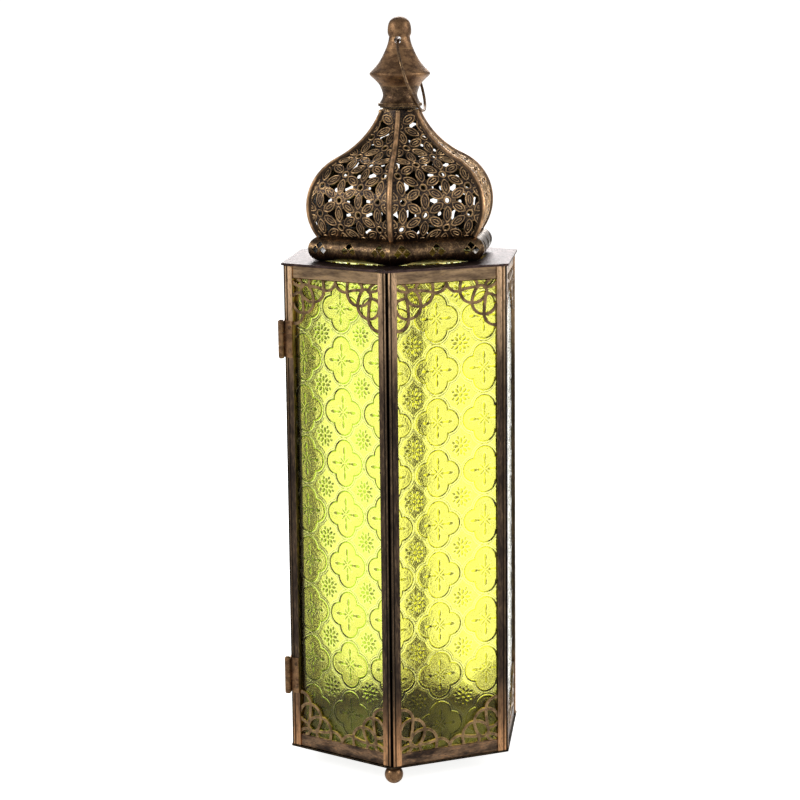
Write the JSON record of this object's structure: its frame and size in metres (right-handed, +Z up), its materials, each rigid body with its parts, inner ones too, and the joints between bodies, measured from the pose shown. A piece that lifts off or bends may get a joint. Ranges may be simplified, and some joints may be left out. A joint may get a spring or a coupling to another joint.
{
  "type": "hexagonal candle lantern",
  "caption": "Tall hexagonal glazed candle lantern with a hinged door, ball feet, a pierced onion dome, a turned finial and a swinging hanging ring.",
  "frame": {"origin": "on the lantern's vertical axis, at the level of the floor under its feet", "axes": "+Z up along the axis; -Y out of the door's face; +X to the right as one faces the door"},
  "size_m": [0.1832, 0.1616, 0.5322],
  "materials": {
    "aged_brass": "antique brass, rubbed bright on its edges",
    "dark_bronze": "dark antique bronze with gold rubbed edges",
    "dark_wire": "dark plated wire and pins",
    "green_glass": "embossed yellow green glass"
  },
  "bodies": {
    "lantern": {"base_plate": "aged_brass", "candle_cup": "aged_brass", "foot_front": "dark_bronze", "foot_right": "dark_bronze", "foot_left": "dark_bronze", "top_plate": "aged_brass", "hinge_post": "aged_brass", "closing_post": "aged_brass", "corner_post_1": "aged_brass", "corner_post_2": "aged_brass", "corner_post_3": "aged_brass", "corner_post_4": "aged_brass", "panel_1_bottom_rail": "aged_brass", "panel_2_bottom_rail": "aged_brass", "panel_3_bottom_rail": "aged_brass", "panel_4_bottom_rail": "aged_brass", "panel_5_bottom_rail": "aged_brass", "panel_1_top_rail": "aged_brass", "panel_2_top_rail": "aged_brass", "panel_3_top_rail": "aged_brass", "panel_4_top_rail": "aged_brass", "panel_5_top_rail": "aged_brass", "panel_1_glass": "green_glass", "panel_2_glass": "green_glass", "panel_3_glass": "green_glass", "panel_4_glass": "green_glass", "panel_5_glass": "green_glass", "panel_1_filigree": "aged_brass", "panel_2_filigree": "aged_brass", "panel_3_filigree": "aged_brass", "panel_4_filigree": "aged_brass", "panel_5_filigree": "aged_brass", "door_catch": "dark_wire", "upper_hinge_post_leaf": "dark_bronze", "lower_hinge_post_leaf": "dark_bronze", "hinge_pins": "dark_wire", "post_rivets": "dark_wire", "dome_collar": "dark_bronze", "dome_gore_1": "dark_bronze", "dome_gore_2": "dark_bronze", "dome_gore_3": "dark_bronze", "dome_gore_4": "dark_bronze", "dome_gore_5": "dark_bronze", "dome_gore_6": "dark_bronze", "dome_ribs": "aged_brass", "dome_crown": "dark_bronze", "finial_spool": "dark_bronze", "finial_bell": "dark_bronze", "finial_ball": "dark_bronze", "finial_bolt": "dark_wire"},
    "door": {"door_hinge_stile": "aged_brass", "door_free_stile": "aged_brass", "door_bottom_rail": "aged_brass", "door_top_rail": "aged_brass", "door_glass": "green_glass", "door_filigree": "aged_brass", "upper_hinge_door_leaf": "dark_bronze", "lower_hinge_door_leaf": "dark_bronze", "door_rivets": "dark_wire"},
    "ring": {"hanging_ring": "dark_wire"}
  },
  "joints": [
    {"name": "door_hinge", "type": "hinge", "parent": "lantern", "child": "door", "pos_m": [-0.04627, -0.08014, 0.1885], "axis": [0, 0, -1], "range_deg": [0, 235]},
    {"name": "ring_swing", "type": "hinge", "parent": "lantern", "child": "ring", "pos_m": [0, 0, 0.516], "axis": [0.4384, -0.8988, 0], "range_deg": [0, 323]}
  ]
}
